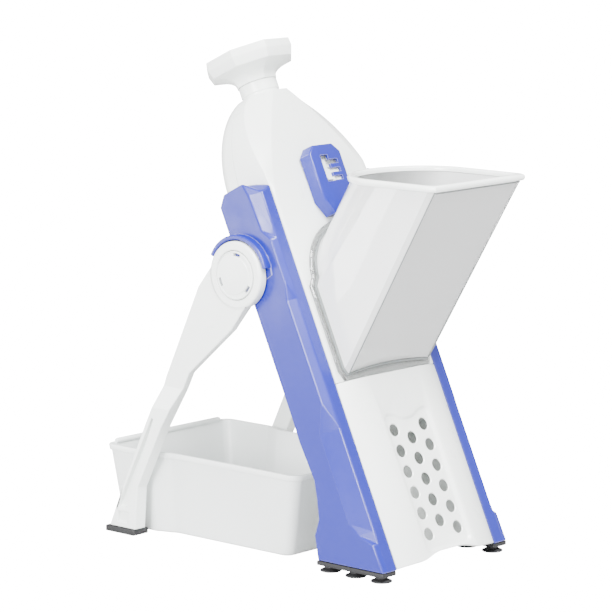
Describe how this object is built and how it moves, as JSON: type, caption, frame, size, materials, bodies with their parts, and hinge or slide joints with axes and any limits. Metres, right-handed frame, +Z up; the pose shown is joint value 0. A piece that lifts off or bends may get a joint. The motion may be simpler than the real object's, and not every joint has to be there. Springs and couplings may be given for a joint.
{
  "type": "mandoline slicer",
  "caption": "Upright press slicer: leaning body with plunger-driven blade carrier, feed hopper, folding rear legs and a catch tray.",
  "frame": {"origin": "on the table, under the middle of the whole object", "axes": "+X to the right seen from the front, +Y to the rear (towards the tray), +Z up"},
  "size_m": [0.158, 0.2986, 0.3582],
  "materials": {
    "white_plastic": "moulded, satin gloss",
    "blue_plastic": "moulded, satin gloss",
    "clear_plastic": "clear polished plastic",
    "tray_plastic": "slightly translucent, fine texture",
    "black_rubber": "matt",
    "blade_steel": "fine brushed"
  },
  "bodies": {
    "frame": {"housing_front": "white_plastic", "housing_rear": "white_plastic", "front_panel": "white_plastic", "lower_liner": "white_plastic", "gate_console": "blue_plastic", "gate_insert": "white_plastic", "side_frame_left": "blue_plastic", "side_frame_right": "blue_plastic", "foot_pad_left": "black_rubber", "foot_pad_right": "black_rubber", "hub_cap_left": "white_plastic", "hub_cap_right": "white_plastic", "rod_bracket_left": "white_plastic", "rod_bracket_right": "white_plastic", "guide_rod_left": "blade_steel", "guide_rod_right": "blade_steel", "return_spring_left": "blade_steel", "return_spring_right": "blade_steel", "discharge_chute": "white_plastic", "cover_screw_1": "blade_steel", "cover_screw_2": "blade_steel", "cover_screw_3": "blade_steel", "cover_screw_4": "blade_steel"},
    "plunger": {"plunger_knob": "white_plastic", "plunger_stem": "white_plastic", "blade_carrier": "white_plastic", "slicing_blade": "blade_steel", "julienne_comb": "blade_steel"},
    "selector_slide": {"selector_slide": "white_plastic"},
    "selector_tab": {"selector_tab": "white_plastic"},
    "leg_left": {"leg_left": "white_plastic", "leg_foot_left": "black_rubber"},
    "leg_right": {"leg_right": "white_plastic", "leg_foot_right": "black_rubber"},
    "hopper": {"hopper_shell": "clear_plastic", "hopper_rim": "white_plastic"},
    "tray": {"catch_tray": "tray_plastic"}
  },
  "joints": [
    {"name": "plunger_press", "type": "slide", "parent": "frame", "child": "plunger", "axis": [0, 0.4194, 0.9078], "range_m": [0, 0.062], "deforming": ["return_spring_left", "return_spring_right"]},
    {"name": "leg_fold_left", "type": "hinge", "parent": "frame", "child": "leg_left", "pos_m": [0, 0.00825, 0.1995], "axis": [1, 0, 0], "range_deg": [-48, 0]},
    {"name": "leg_fold_right", "type": "hinge", "parent": "frame", "child": "leg_right", "pos_m": [0, 0.00825, 0.1995], "axis": [1, 0, 0], "range_deg": [-48, 0]},
    {"name": "hopper_pull", "type": "slide", "parent": "frame", "child": "hopper", "axis": [0, -0.9078, 0.4194], "range_m": [0, 0.03]},
    {"name": "selector_travel", "type": "slide", "parent": "frame", "child": "selector_slide", "axis": [0, 0.4194, 0.9078], "range_m": [0, 0.0123]},
    {"name": "selector_shift", "type": "slide", "parent": "selector_slide", "child": "selector_tab", "axis": [1, 0, 0], "range_m": [0, 0.005]},
    {"name": "tray_slide", "type": "slide", "parent": "frame", "child": "tray", "axis": [0, 1, 0], "range_m": [0, 0.2]}
  ]
}
